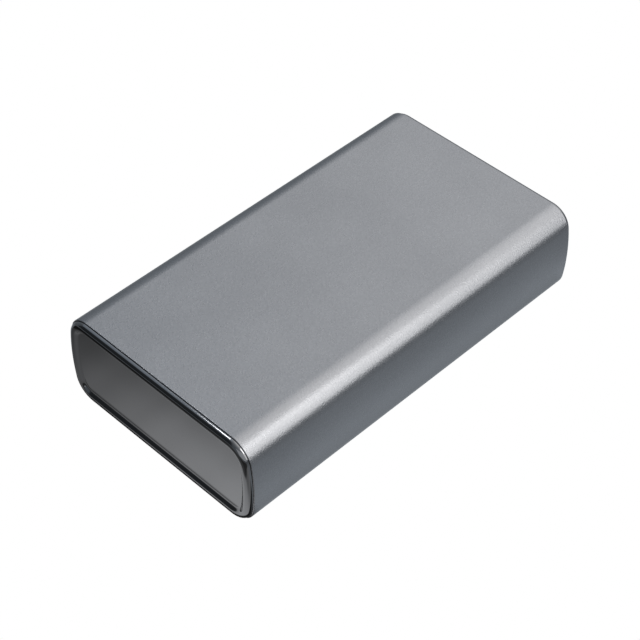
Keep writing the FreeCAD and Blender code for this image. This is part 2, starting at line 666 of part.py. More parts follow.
def usb_a_contacts():
    width, sheet = USB_A_CONTACT
    start = USB_A_REAR_Y + USB_A_PIN_START
    front = USB_A_TONGUE_FRONT_Y - USB_A_CONTACT_BACK
    z1 = USB_A_TONGUE_Z - USB_A_TONGUE[1] / 2
    low = BOARD_BOTTOM_Z - USB_A_PIN
    contacts = []
    for offset in USB_A_CONTACT_X:
        x = USB_A_X + offset
        strip = box(x - width / 2, x + width / 2, start, front, z1 - sheet, z1)
        pin = box(x - USB_A_PIN / 2, x + USB_A_PIN / 2, start, start + USB_A_PIN_SHEET, low, z1)
        contacts.append(fuse([strip, pin]))
    return Part.makeCompound(contacts)


def usb_a_insulator():
    half_width = USB_A_SIZE[0] / 2 - USB_A_SHEET - USB_A_PLAY
    half_height = USB_A_SIZE[1] / 2 - USB_A_SHEET - USB_A_PLAY - USB_A_BLOCK_DROP
    rear = USB_A_REAR_Y + USB_A_SHEET
    block = box(
        USB_A_X - half_width, USB_A_X + half_width,
        rear + USB_A_PLAY, rear + USB_A_BLOCK,
        USB_A_Z - half_height, USB_A_Z + half_height,
    )
    width, height = USB_A_TONGUE
    rounding = 0.2
    start = rear + USB_A_BLOCK - BEYOND
    tongue = bar(USB_A_X, USB_A_TONGUE_Z, width, height, rounding, start, USB_A_TONGUE_FRONT_Y)
    return fuse([block, tongue]).cut(usb_a_contacts())


# --- USB-C socket -------------------------------------------------------------------------
def usb_c_legs():
    legs = []
    half = USB_C_SHEET / 2
    reach = USB_C_LEG_WIDTH / 2
    for side in (-1, 1):
        x = USB_C_X + side * (USB_C_SIZE[0] / 2 - half)
        for y in USB_C_LEG_Y:
            low = BOARD_BOTTOM_Z - USB_C_LEG_BELOW
            legs.append(box(x - half, x + half, y - reach, y + reach, low, USB_C_Z))
    return Part.makeCompound(legs)


def usb_c_shell():
    width, height = USB_C_SIZE
    outer = slot_bar(USB_C_X, USB_C_Z, width, height, USB_C_REAR_Y, USB_C_FRONT_Y)
    inner = slot_bar(
        USB_C_X, USB_C_Z,
        width - 2 * USB_C_SHEET, height - 2 * USB_C_SHEET,
        USB_C_REAR_Y + USB_C_SHEET, USB_C_FRONT_Y + BEYOND,
    )
    return fuse([outer] + usb_c_legs().Solids).cut(inner)


def usb_c_contacts():
    width, sheet = USB_C_CONTACT
    start = USB_C_REAR_Y + USB_C_BLOCK
    front = USB_C_TONGUE_FRONT_Y - USB_C_CONTACT_BACK
    half = USB_C_TONGUE[1] / 2
    contacts = []
    for side in (-1, 1):
        low, high = sorted((USB_C_Z + side * half, USB_C_Z + side * (half + sheet)))
        for i in range(USB_C_CONTACTS):
            x = USB_C_X + (i - (USB_C_CONTACTS - 1) / 2) * USB_C_PITCH
            contacts.append(box(x - width / 2, x + width / 2, start, front, low, high))
    return Part.makeCompound(contacts)


def usb_c_insulator():
    rear = USB_C_REAR_Y + USB_C_SHEET + USB_C_PLAY
    width, height = (size - 2 * (USB_C_SHEET + USB_C_PLAY) for size in USB_C_SIZE)
    block = slot_bar(USB_C_X, USB_C_Z, width, height, rear, USB_C_REAR_Y + USB_C_BLOCK)
    width, height = USB_C_TONGUE
    rounding = USB_C_TONGUE_ROUNDING
    tongue = bar(USB_C_X, USB_C_Z, width, height, rounding, rear + BEYOND, USB_C_TONGUE_FRONT_Y)
    return fuse([block, tongue])


# --- Button, switch and light pipe --------------------------------------------------------
def switch_terminals():
    pins = []
    y0, y1 = SWITCH_PIN_SPAN
    low = BOARD_BOTTOM_Z - SWITCH_PIN_BELOW
    high = BOARD_TOP_Z + SWITCH_PIN_ABOVE
    for side in (-1, 1):
        x = BUTTON_X + side * SWITCH_PIN_X
        pins.append(box(x - SWITCH_PIN_HALF_WIDTH, x + SWITCH_PIN_HALF_WIDTH, y0, y1, low, high))
    return Part.makeCompound(pins)


def switch_body():
    x0 = BUTTON_X - SWITCH_HALF
    x1 = BUTTON_X + SWITCH_HALF
    body = box(x0, x1, SWITCH_REAR_Y, SWITCH_FRONT_Y, BOARD_TOP_Z, SWITCH_TOP_Z)
    cavity = rod_y(BUTTON_X, AXIS_Z, SWITCH_CAVITY_RADIUS, SWITCH_CAVITY_Y, SWITCH_FRONT_Y + BEYOND)
    return body.cut([cavity, switch_terminals()])


def switch_cover():
    front = SWITCH_FRONT_Y + SWITCH_COVER
    outer = SWITCH_HALF + SWITCH_COVER
    plate = box(BUTTON_X - outer, BUTTON_X + outer, SWITCH_FRONT_Y, front, BOARD_TOP_Z, SWITCH_TOP_Z)
    rear = SWITCH_REAR_Y + SWITCH_STRAP_START
    half = SWITCH_STRAP_HALF_HEIGHT
    straps = []
    for side in (-1, 1):
        low, high = sorted((BUTTON_X + side * SWITCH_HALF, BUTTON_X + side * outer))
        straps.append(box(low, high, rear, front, AXIS_Z - half, AXIS_Z + half))
    hole_radius = PLUNGER_RADIUS + SWITCH_COVER_PLAY
    hole = rod_y(BUTTON_X, AXIS_Z, hole_radius, SWITCH_FRONT_Y - BEYOND, front + BEYOND)
    return fuse([plate] + straps).cut(hole)


def dome_cap(grow):
    """A cap of a ball along Y, standing on the switch's cavity floor."""
    ball_radius = (DOME_RADIUS ** 2 + DOME_RISE ** 2) / (2 * DOME_RISE)
    centre_y = SWITCH_CAVITY_Y + DOME_RISE - ball_radius
    ball = Part.makeSphere(ball_radius + grow, vec(BUTTON_X, centre_y, AXIS_Z))
    return ball.common(rod_y(BUTTON_X, AXIS_Z, DOME_RADIUS, SWITCH_CAVITY_Y, SWITCH_FRONT_Y))


def switch_dome():
    return dome_cap(0).cut(dome_cap(-DOME_SHEET))


def switch_plunger():
    y0 = SWITCH_CAVITY_Y + DOME_RISE + REST_GAP
    y1 = SWITCH_FRONT_Y - PLUNGER_FLANGE_PLAY
    base = rod_y(BUTTON_X, AXIS_Z, PLUNGER_RADIUS + PLUNGER_FLANGE, y0, y1)
    stem = rod_y(BUTTON_X, AXIS_Z, PLUNGER_RADIUS, y0, PLUNGER_TIP_Y)
    return fuse([base, stem])


def power_button():
    front = CAP_FACE_Y + BUTTON_STAND_OUT
    flange_front = CAP_PLATE_Y - REST_GAP
    flange_rear = flange_front - BUTTON_FLANGE
    cap = rod_y(BUTTON_X, AXIS_Z, BUTTON_RADIUS, flange_rear, front)
    rim = [e for e in cap.Edges if abs(e.BoundBox.YMin - front) < 1e-6 and e.Length > 1]
    cap = cap.makeFillet(BUTTON_ROUNDING, rim)
    flange = rod_y(BUTTON_X, AXIS_Z, BUTTON_FLANGE_RADIUS, flange_rear, flange_front)
    stem = rod_y(BUTTON_X, AXIS_Z, BUTTON_STEM_RADIUS, PLUNGER_TIP_Y + REST_GAP, flange_front)
    return fuse([cap, flange, stem])


def light_pipe():
    """One clear moulding: four round pins through the cap, joined and turned down to the lamps."""
    x0 = LIGHT_X[0] - LIGHT_MARGINS[0]
    x1 = LIGHT_X[-1] + LIGHT_MARGINS[1]
    top = AXIS_Z + LIGHT_HALF_HEIGHT
    pin_end = CAP_FACE_Y + LIGHT_STAND_OUT
    pins = [rod_y(x, AXIS_Z, LIGHT_RADIUS, LIGHT_PIN_START, pin_end) for x in LIGHT_X]
    shoulder_end = CAP_PLATE_Y - REST_GAP
    shoulder = box(x0, x1, LIGHT_SHOULDER_START, shoulder_end, AXIS_Z - LIGHT_HALF_HEIGHT, top)
    y0, y1 = LIGHT_BLOCK_SPAN
    block = box(x0, x1, y0, y1, BOARD_TOP_Z + LIGHT_BLOCK_OVER_BOARD, top)
    return fuse(pins + [shoulder, block])


# --- Write each piece ---------------------------------------------------------------------
def pieces():
    yield "sleeve", sleeve()
    yield "plain_end_cap", plain_end_cap()
    yield "port_end_cap", port_end_cap()
    yield "inner_tray", inner_tray()
    yield "lower_cell", cell(LOWER_CELL_Z, LOWER_CELL_Z)
    yield "upper_cell", cell(UPPER_CELL_Z, PACK_TOP_Z)
    yield "lower_cell_tabs", cell_tabs(LOWER_CELL_Z, 1)
    yield "upper_cell_tabs", cell_tabs(UPPER_CELL_Z, -1)
    yield "protection_board", protection_board()
    yield "protection_chips", protection_chips()
    yield "insulation_paper", insulation_paper()
    yield "cell_tape", cell_tape()
    yield "tray_tape", tray_tape()
    yield "top_foam_pads", top_foam_pads()
    yield "wrap_tape", wrap_tape()
    yield "end_cushion", end_cushion()
    yield "thermistor", thermistor()
    yield "positive_lead", battery_lead(*POSITIVE_LEAD_X)
    yield "negative_lead", battery_lead(*NEGATIVE_LEAD_X)
    yield "main_board", main_board()
    yield "board_screws", board_screws()
    yield "charge_controller", chips([CONTROLLER_PLACE], CONTROLLER_SIZE)
    yield "power_inductor", power_inductor()
    yield "inductor_terminals", inductor_terminals()
    yield "indicator_leds", chips([(x, LED_Y) for x in LIGHT_X], LED_SIZE)
    yield "chip_capacitors", chips(CAPACITOR_PLACES, CAPACITOR_SIZE)
    yield "chip_resistors", chips(RESISTOR_PLACES, RESISTOR_SIZE, top=False)
    yield "output_capacitors", chips(OUTPUT_CAPACITOR_PLACES, OUTPUT_CAPACITOR_SIZE, top=False)
    yield "power_transistors", chips(TRANSISTOR_PLACES, TRANSISTOR_SIZE, top=False)
    yield "usb_a_shell", usb_a_shell()
    yield "usb_a_insulator", usb_a_insulator()
    yield "usb_a_contacts", usb_a_contacts()
    yield "usb_c_shell", usb_c_shell()
    yield "usb_c_insulator", usb_c_insulator()
    yield "usb_c_contacts", usb_c_contacts()
    yield "switch_body", switch_body()
    yield "switch_terminals", switch_terminals()
    yield "switch_cover", switch_cover()
    yield "switch_dome", switch_dome()
    yield "switch_plunger", switch_plunger()
    yield "power_button", power_button()
    yield "light_pipe", light_pipe()


os.makedirs("parts", exist_ok=True)
for name, shape in pieces():
    shape.exportStep("parts/" + name + ".step")
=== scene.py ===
import json
import math

import bmesh
import bpy
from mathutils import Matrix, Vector


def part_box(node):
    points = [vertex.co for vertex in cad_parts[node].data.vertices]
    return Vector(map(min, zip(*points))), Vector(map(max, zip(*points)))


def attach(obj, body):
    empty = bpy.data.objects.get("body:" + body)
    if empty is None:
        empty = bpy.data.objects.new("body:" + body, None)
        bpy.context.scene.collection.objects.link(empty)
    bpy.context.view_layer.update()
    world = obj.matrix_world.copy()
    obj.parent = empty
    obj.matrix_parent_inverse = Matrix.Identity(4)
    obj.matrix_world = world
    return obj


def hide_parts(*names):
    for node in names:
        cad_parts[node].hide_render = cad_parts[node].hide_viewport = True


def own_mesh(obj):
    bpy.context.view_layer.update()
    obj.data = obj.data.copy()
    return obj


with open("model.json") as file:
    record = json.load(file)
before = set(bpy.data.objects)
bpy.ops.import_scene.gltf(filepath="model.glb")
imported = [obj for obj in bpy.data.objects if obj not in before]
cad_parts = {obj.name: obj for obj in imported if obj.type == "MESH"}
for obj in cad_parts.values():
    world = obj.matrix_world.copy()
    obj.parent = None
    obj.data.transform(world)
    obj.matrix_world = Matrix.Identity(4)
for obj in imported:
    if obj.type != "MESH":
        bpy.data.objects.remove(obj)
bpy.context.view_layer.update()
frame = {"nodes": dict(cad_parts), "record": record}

MM = 0.001

# --- Sizes, in millimetres ----------------------------------------------------------------
# The outer sizes come from the frame. The others repeat the design's own.
sleeve_low, sleeve_high = (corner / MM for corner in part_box("sleeve"))
cap_low, cap_high = (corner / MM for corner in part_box("port_end_cap"))
HALF_WIDTH = sleeve_high.x
HEIGHT = sleeve_high.z
SLEEVE_END = sleeve_high.y
CORNER_RADIUS = 5.3
SIDE_RADIUS = 44.5
WALL = 1.2

GROOVE_INSET = 0.8
RIM_Y = SLEEVE_END + 0.05
CREST_Y = cap_high.y
CREST_INSET = 1.6
CREST_LAND = 0.1
RIM_INSET = 0.3
FACE_INSET = 2.9
FACE_Y = CREST_Y - 0.65
PLATE_Y = FACE_Y - 1.3
SKIRT_INSET = WALL + 0.1
SKIRT_WALL = 1.1
SKIRT_Y = cap_low.y + 3.6

SIDE_CENTRE_X = HALF_WIDTH - SIDE_RADIUS
CORNER_RISE = HEIGHT / 2 - CORNER_RADIUS
CORNER_X = SIDE_CENTRE_X + math.sqrt((SIDE_RADIUS - CORNER_RADIUS) ** 2 - CORNER_RISE ** 2)
CORNER_JOIN = math.atan2(CORNER_RISE, CORNER_X - SIDE_CENTRE_X)


# --- Node materials -----------------------------------------------------------------------
class Graph:
    """Short ways to write arithmetic in a node tree."""

    def __init__(self, tree):
        self.tree = tree

    def add(self, kind, **settings):
        node = self.tree.nodes.new(kind)
        for key, value in settings.items():
            setattr(node, key, value)
        return node

    def put(self, node_input, value):
        if isinstance(value, bpy.types.NodeSocket):
            self.tree.links.new(value, node_input)
        else:
            node_input.default_value = value

    def maths(self, operation, first, second=0.0, third=0.0):
        node = self.add("ShaderNodeMath", operation=operation)
        for node_input, value in zip(node.inputs, (first, second, third)):
            self.put(node_input, value)
        return node.outputs[0]

    def vector(self, operation, first, second=None):
        node = self.add("ShaderNodeVectorMath", operation=operation)
        self.put(node.inputs[0], first)
        if second is not None:
            self.put(node.inputs[1], second)
        return node.outputs["Value" if operation in ("DOT_PRODUCT", "LENGTH") else "Vector"]

    def scaled(self, vector, factor):
        """A vector or colour times a number."""
        node = self.add("ShaderNodeVectorMath", operation="SCALE")
        self.put(node.inputs[0], vector)
        self.put(node.inputs["Scale"], factor)
        return node.outputs["Vector"]

    def span(self, value, low, high, start=0.0, end=1.0, interpolation="LINEAR"):
        """Goes from start to end as value goes from low to high, and no further."""
        node = self.add("ShaderNodeMapRange", interpolation_type=interpolation)
        for socket, number in (("From Min", low), ("From Max", high), ("To Min", start), ("To Max", end)):
            node.inputs[socket].default_value = number
        self.put(node.inputs["Value"], value)
        return node.outputs["Result"]

    def smooth(self, value, low, high, start, end):
        """The same, easing in and out."""
        return self.span(value, low, high, start, end, "SMOOTHSTEP")

    def ramp(self, value, low, high, stops):
        """A colour for each value: stops are (value, colour), from low to high."""
        node = self.add("ShaderNodeValToRGB")
        self.put(node.inputs["Fac"], self.span(value, low, high))
        node.color_ramp.interpolation = "EASE"
        elements = node.color_ramp.elements
        while len(elements) < len(stops):
            elements.new(0.5)
        for element, (at, colour) in zip(elements, stops):
            element.position = (at - low) / (high - low)
            element.color = (*colour, 1)
        return node.outputs["Color"]


class Shader(Graph):
    """A material with a Principled shader and short ways to add detail to it."""

    def __init__(self, name, **sockets):
        self.material = bpy.data.materials.new(name)
        self.material.use_nodes = True
        super().__init__(self.material.node_tree)
        self.base = self.tree.nodes["Principled BSDF"]
        self.place = self.add("ShaderNodeTexCoord").outputs["Object"]
        for socket, value in sockets.items():
            self.base.inputs[socket.replace("_", " ")].default_value = value

    def axis(self, index):
        """The place along X, Y or Z, in millimetres."""
        split = self.add("ShaderNodeSeparateXYZ")
        self.put(split.inputs[0], self.place)
        return self.maths("MULTIPLY", split.outputs[index], 1 / MM)

    def noise(self, per_mm, detail=2.0, stretch=(1, 1, 1), roughness=0.5):
        """Noise with about per_mm features in each millimetre."""
        mapping = self.add("ShaderNodeMapping")
        mapping.inputs["Scale"].default_value = stretch
        self.put(mapping.inputs["Vector"], self.place)
        node = self.add("ShaderNodeTexNoise")
        node.inputs["Scale"].default_value = per_mm / MM
        node.inputs["Detail"].default_value = detail
        node.inputs["Roughness"].default_value = roughness
        self.put(node.inputs["Vector"], mapping.outputs["Vector"])
        return node.outputs["Fac"]

    def cells(self, per_mm):
        """The distance to the nearest of about per_mm points in each millimetre."""
        node = self.add("ShaderNodeTexVoronoi")
        node.inputs["Scale"].default_value = per_mm / MM
        self.put(node.inputs["Vector"], self.place)
        return node.outputs["Distance"]

    def waves(self, value, per_mm):
        """Runs from 0 to 1 and back, per_mm times in each millimetre."""
        turn = self.maths("MULTIPLY", value, 2 * math.pi * per_mm)
        return self.maths("MULTIPLY_ADD", self.maths("SINE", turn), 0.5, 0.5)

    def tint(self, value, first, second):
        """Goes from the first colour to the second as value goes from 0 to 1."""
        node = self.add("ShaderNodeMix", data_type="RGBA")
        for socket, colour in (("A", first), ("B", second)):
            self.put(node.inputs[socket], (*colour, 1) if isinstance(colour, tuple) else colour)
        self.put(node.inputs["Factor"], value)
        return node.outputs["Result"]

    def colour(self, output):
        self.put(self.base.inputs["Base Color"], output)

    def rough(self, output):
        self.put(self.base.inputs["Roughness"], output)

    def bump(self, height, depth_mm, strength=1.0):
        """Adds relief to what is there already."""
        node = self.add("ShaderNodeBump")
        node.inputs["Strength"].default_value = strength
        node.inputs["Distance"].default_value = depth_mm * MM
        self.put(node.inputs["Height"], height)
        before = self.base.inputs["Normal"].links
        if before:
            self.put(node.inputs["Normal"], before[0].from_socket)
        self.put(self.base.inputs["Normal"], node.outputs["Normal"])


def blasted_aluminium():
    """Bead-blasted, anodised gunmetal: fine pits at two sizes, on a lightly cloudy tone."""
    m = Shader("blasted_aluminium", Metallic=1.0)
    cloud = m.noise(0.05, 3.0)
    speck = m.noise(3.2, 2.0)
    tone = m.tint(m.span(cloud, 0.35, 0.65), (0.273, 0.2755, 0.287), (0.292, 0.2945, 0.306))
    m.colour(m.scaled(tone, m.span(speck, 0.3, 0.7, 0.93, 1.07)))
    m.rough(m.span(m.noise(1.1, 3.0), 0.3, 0.7, 0.265, 0.305))
    m.bump(m.noise(2.8, 2.0, roughness=0.6), 0.032, 1.0)
    m.bump(m.noise(6.0, 1.0), 0.014, 1.0)
    return m.material


def dark_chrome():
    """Smoked chrome on moulded plastic: a near mirror, faintly clouded and waved."""
    m = Shader("dark_chrome", Metallic=1.0)
    cloud = m.noise(0.08, 2.0)
    m.colour(m.tint(m.span(cloud, 0.3, 0.7), (0.205, 0.205, 0.21), (0.22, 0.22, 0.226)))
    m.rough(m.span(m.noise(0.4, 3.0), 0.3, 0.7, 0.05, 0.09))
    m.bump(m.noise(0.12, 1.0), 0.004, 0.3)
    return m.material


def along_board(m, node, length, pitch):
    """How far each place is from its own chip's middle, as a share of half a chip, for chips along X."""
    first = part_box(node)[0].x / MM + length / 2
    steps = m.maths("DIVIDE", m.maths("SUBTRACT", m.axis(0), first), pitch)
    off = m.maths("SUBTRACT", steps, m.maths("ROUND", steps))
    return m.maths("MULTIPLY", m.maths("ABSOLUTE", off), 2 * pitch / length)


def satin_button():
    """Dark metallised plastic with a fine spun face, a little polished where it is pressed."""
    m = Shader("satin_button", Metallic=1.0)
    x = m.maths("SUBTRACT", m.axis(0), BUTTON_X)
    z = m.maths("SUBTRACT", m.axis(2), BUTTON_Z)
    out = m.maths("SQRT", m.maths("ADD", m.maths("MULTIPLY", x, x), m.maths("MULTIPLY", z, z)))
    rings = m.waves(m.maths("ADD", out, m.maths("MULTIPLY", m.noise(0.5, 2.0), 0.1)), 5.0)
    tone = m.tint(m.noise(0.7, 3.0), (0.225, 0.225, 0.232), (0.255, 0.256, 0.264))
    m.colour(m.scaled(tone, m.span(rings, 0, 1, 0.95, 1.04)))
    wear = m.span(m.noise(1.5, 3.0), 0.3, 0.7, -0.03, 0.05)
    m.rough(m.maths("ADD", m.span(out, 0.5, 3.0, 0.20, 0.27), wear))
    m.bump(rings, 0.004, 0.5)
    m.bump(m.noise(4.0, 2.0), 0.003, 0.5)
    return m.material


def milky_acrylic():
    """Clear acrylic clouded by diffusing grains, with faint flow lines from moulding."""
    m = Shader("milky_acrylic", Transmission_Weight=0.35, IOR=1.49, Coat_Weight=0.2, Coat_Roughness=0.08)
    grains = m.noise(3.5, 3.0, roughness=0.6)
    flow = m.noise(0.8, 2.0, stretch=(1, 0.2, 1))
    cloud = m.tint(m.span(flow, 0.35, 0.65), (0.80, 0.83, 0.85), (0.90, 0.92, 0.93))
    m.colour(m.scaled(cloud, m.span(grains, 0.3, 0.7, 0.93, 1.04)))
    m.rough(m.span(grains, 0.3, 0.7, 0.26, 0.42))
    m.bump(grains, 0.006, 0.5)
    return m.material


def metal(name, first, second, roughness, along, depth=0.004, patches=0.3):
    """Sheet metal or plating: rolling lines along one axis, slightly stained in patches, with small dents."""
    m = Shader(name, Metallic=1.0)
    stretch = tuple(0.06 if i == along else 1.0 for i in range(3))
    lines = m.noise(7.0, 3.0, stretch=stretch, roughness=0.6)
    stain = m.noise(patches, 3.0)
    tone = m.tint(m.span(stain, 0.35, 0.65), first, second)
    m.colour(m.scaled(tone, m.span(lines, 0.3, 0.7, 0.92, 1.06)))
    low, high = roughness
    m.rough(m.maths("ADD", m.span(lines, 0.3, 0.7, low, high), m.span(stain, 0.35, 0.65, 0.0, 0.06)))
    m.bump(lines, depth, 0.6)
    m.bump(m.noise(1.2, 1.0), 0.008, 0.4)
    return m


def moulded(name, first, second, roughness, grain=6.0, depth=0.006, **sockets):
    """Moulded plastic: a fine spark-eroded grain, broad flow marks and a few dull scuffs."""
    m = Shader(name, **sockets)
    fine = m.noise(grain, 2.0, roughness=0.6)
    flow = m.noise(0.25, 3.0, stretch=(1, 0.4, 1))
    scuff = m.span(m.noise(1.1, 4.0, stretch=(1, 0.3, 1)), 0.6, 0.72)
    tone = m.tint(m.span(flow, 0.35, 0.65), first, second)
    m.colour(m.scaled(tone, m.span(fine, 0.3, 0.7, 0.90, 1.08)))
    low, high = roughness
    m.rough(m.maths("ADD", m.span(fine, 0.3, 0.7, low, high), m.maths("MULTIPLY", scuff, 0.1)))
    m.bump(fine, depth, 0.7)
    return m


def pouch_foil():
    m = metal("pouch_foil", (0.60, 0.61, 0.64), (0.74, 0.75, 0.78), (0.30, 0.42), 1, patches=0.1)
    m.bump(m.noise(0.16, 3.0), 0.25, 0.6)
    m.bump(m.span(m.noise(0.35, 4.0, roughness=0.6), 0.55, 0.62), 0.05, 0.4)
    return m.material


def solder_mask():
    """Green lacquer over copper tracks and a glass weave."""
    m = Shader("solder_mask", Coat_Weight=0.5, Coat_Roughness=0.12)
    weave = m.maths("MULTIPLY", m.waves(m.axis(0), 2.2), m.waves(m.axis(1), 2.2))
    bend = m.span(m.noise(0.12, 0.0), 0.4, 0.6, 0, 3)
    tracks = m.span(m.waves(m.maths("ADD", m.axis(0), bend), 0.8), 0.62, 0.72)
    pads = m.span(m.noise(0.22, 0.0), 0.52, 0.54)
    copper = m.maths("MULTIPLY", tracks, pads)
    lacquer = m.tint(weave, (0.012, 0.085, 0.045), (0.018, 0.11, 0.06))
    m.colour(m.tint(copper, lacquer, (0.035, 0.19, 0.085)))
    m.rough(m.span(m.noise(2.0, 3.0), 0.3, 0.7, 0.28, 0.42))
    m.bump(copper, 0.03, 0.8)
    m.bump(weave, 0.006, 0.5)
    return m.material


def chip_row(name, node, length, pitch, first, second, middle):
    """Ceramic chips with tinned ends; middle is how much of each chip is bare, from 0 to 1."""
    m = Shader(name)
    across = along_board(m, node, length, pitch)
    tin = m.span(across, middle - 0.03, middle + 0.03)
    grain = m.noise(6.0, 3.0, roughness=0.6)
    bare = m.scaled(m.tint(m.noise(0.8, 2.0), first, second), m.span(grain, 0.3, 0.7, 0.88, 1.08))
    m.colour(m.tint(tin, bare, (0.66, 0.66, 0.67)))
    m.put(m.base.inputs["Metallic"], tin)
    m.rough(m.maths("ADD", m.span(grain, 0.3, 0.7, 0.30, 0.5), m.maths("MULTIPLY", tin, -0.08)))
    m.bump(grain, 0.006, 0.6)
    m.bump(tin, 0.02, 0.6)
    return m


def film_resistor():
    m = chip_row("film_resistor", "chip_resistors", 1.6, 2.4, (0.72, 0.71, 0.68), (0.80, 0.79, 0.76), 0.7)
    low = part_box("chip_resistors")[0].z / MM
    under_top = m.span(m.axis(2), low + 0.06, low + 0.1, 1, 0)
    between_ends = m.span(along_board(m, "chip_resistors", 1.6, 2.4), 0.68, 0.72, 1, 0)
    film = m.maths("MULTIPLY", under_top, between_ends)
    under = m.base.inputs["Base Color"].links[0].from_socket
    m.colour(m.tint(film, under, (0.02, 0.02, 0.022)))
    return m.material


def lamp_package():
    """White lamp bodies with a yellow phosphor window in the middle of each."""
    m = chip_row("lamp_package", "indicator_leds", 1.6, 2.0, (0.80, 0.80, 0.76), (0.86, 0.86, 0.83), 0.8)
    phosphor = m.span(along_board(m, "indicator_leds", 1.6, 2.0), 0.38, 0.46, 1, 0)
    under = m.base.inputs["Base Color"].links[0].from_socket
    m.colour(m.tint(phosphor, under, (0.82, 0.62, 0.10)))
    return m.material


def pressed_ferrite():
    m = moulded("pressed_ferrite", (0.075, 0.075, 0.08), (0.11, 0.11, 0.115), (0.5, 0.7), 3.5, 0.03)
    m.bump(m.span(m.cells(1.4), 0.0, 0.3), 0.02, 0.5)
    return m.material


def fish_paper():
    """Pressed fibre paper: crossed fibres and a calendered face."""
    m = Shader("fish_paper", Sheen_Weight=0.15)
    along_z, along_x = (m.noise(2.5, 3.0, stretch=way) for way in ((1, 1, 0.15), (0.15, 1, 1)))
    fibres = m.maths("MAXIMUM", along_z, along_x)
    m.colour(m.tint(m.span(fibres, 0.45, 0.7), (0.20, 0.32, 0.22), (0.33, 0.46, 0.34)))
    m.rough(m.span(fibres, 0.4, 0.7, 0.62, 0.8))
    m.bump(fibres, 0.02, 0.7)
    return m.material


def acrylic_tape():
    m = moulded("acrylic_tape", (0.74, 0.74, 0.72), (0.84, 0.84, 0.82), (0.25, 0.4), 2.0, 0.02)
    m.bump(m.span(m.noise(0.3, 3.0), 0.55, 0.6), 0.06, 0.5)
    return m.material


def polyimide_film():
    """Amber film: glossy, with lines from the roll and trapped bubbles."""
    m = metal("polyimide_film", (0.50, 0.24, 0.03), (0.66, 0.36, 0.07), (0.18, 0.28), 1, patches=0.2)
    m.base.inputs["Metallic"].default_value = 0.0
    m.base.inputs["Coat Weight"].default_value = 0.6
    m.base.inputs["Coat Roughness"].default_value = 0.08
    m.bump(m.span(m.noise(0.5, 2.0), 0.6, 0.66), 0.05, 0.5)
    return m.material


def cell_foam():
    """Closed-cell foam with a thin skin over its bubbles."""
    m = Shader("cell_foam", Sheen_Weight=0.2, Sheen_Roughness=0.5)
    bubbles = m.cells(2.6)
    m.colour(m.tint(m.span(bubbles, 0.05, 0.5), (0.022, 0.022, 0.024), (0.06, 0.06, 0.063)))
    m.rough(m.span(m.noise(1.5, 3.0), 0.3, 0.7, 0.75, 0.92))
    m.bump(m.span(bubbles, 0.0, 0.45), 0.09, 0.9)
    m.bump(m.noise(0.3, 2.0), 0.15, 0.5)
    return m.material


def sleeving(name, first, second):
    """Silicone lead: draw lines along it, with a dusting of talc."""
    m = moulded(name, first, second, (0.34, 0.48), 4.0, 0.008, Sheen_Weight=0.1)
    m.bump(m.noise(5.0, 2.0, stretch=(1, 0.05, 1)), 0.006, 0.6)
    return m.material


def make_materials():
    """One material for each of the record's material slots."""
    return {
        "sleeve_metal": blasted_aluminium(),
        "cap_plastic": dark_chrome(),
        "button_plastic": satin_button(),
        "tray_plastic": moulded(
            "tray_plastic", (0.024, 0.024, 0.026), (0.034, 0.034, 0.036), (0.5, 0.64)
        ).material,
        "clear_plastic": milky_acrylic(),
        "cell_foil": pouch_foil(),
        "nickel": metal("nickel", (0.56, 0.53, 0.48), (0.66, 0.63, 0.58), (0.24, 0.36), 0).material,
        "board_laminate": solder_mask(),
        "chip_epoxy": moulded(
            "chip_epoxy", (0.018, 0.018, 0.02), (0.027, 0.027, 0.03), (0.42, 0.6), 8.0
        ).material,
        "ferrite": pressed_ferrite(),
        "capacitor_ceramic": chip_row(
            "capacitor_ceramic", "chip_capacitors", 1.6, 2.1, (0.40, 0.27, 0.16), (0.50, 0.35, 0.22), 0.6
        ).material,
        "resistor_ceramic": film_resistor(),
        "lamp": lamp_package(),
        "socket_steel": metal(
            "socket_steel", (0.56, 0.56, 0.57), (0.66, 0.66, 0.67), (0.20, 0.32), 1
        ).material,
        "socket_plastic": moulded(
            "socket_plastic", (0.78, 0.78, 0.76), (0.86, 0.86, 0.84), (0.34, 0.46)
        ).material,
        "socket_plastic_dark": moulded(
            "socket_plastic_dark", (0.02, 0.02, 0.02), (0.035, 0.035, 0.036), (0.36, 0.5)
        ).material,
        "gold_contact": metal(
            "gold_contact", (0.78, 0.56, 0.24), (0.88, 0.68, 0.34), (0.16, 0.28), 1
        ).material,
        "screw_steel": metal(
            "screw_steel", (0.16, 0.16, 0.17), (0.28, 0.28, 0.29), (0.26, 0.4), 2
        ).material,
        "red_insulation": sleeving("red_insulation", (0.46, 0.015, 0.012), (0.58, 0.03, 0.022)),
        "black_insulation": sleeving("black_insulation", (0.016, 0.016, 0.017), (0.03, 0.03, 0.031)),
        "fish_paper": fish_paper(),
        "polyimide_tape": polyimide_film(),
        "double_sided_tape": acrylic_tape(),
        "foam": cell_foam(),
        "thermistor_epoxy": moulded(
            "thermistor_epoxy", (0.015, 0.015, 0.016), (0.03, 0.03, 0.032), (0.12, 0.22), 1.5, 0.02
        ).material,
    }


def dress_nodes(materials):
    """Puts each CAD node's material in its slots."""
    for part in frame["record"]["subparts"]:
        node = frame["nodes"][part["node"]]
        for place in node.material_slots:
            place.material = materials[part["material_slot"]]


def tin_output_capacitors():
    """The four large capacitors differ from the small ones in size and spacing."""
    first, second = (0.38, 0.26, 0.15), (0.48, 0.34, 0.21)
    m = chip_row("output_ceramic", "output_capacitors", 3.2, 4.5, first, second, 0.66)
    for place in frame["nodes"]["output_capacitors"].material_slots:
        place.material = m.material


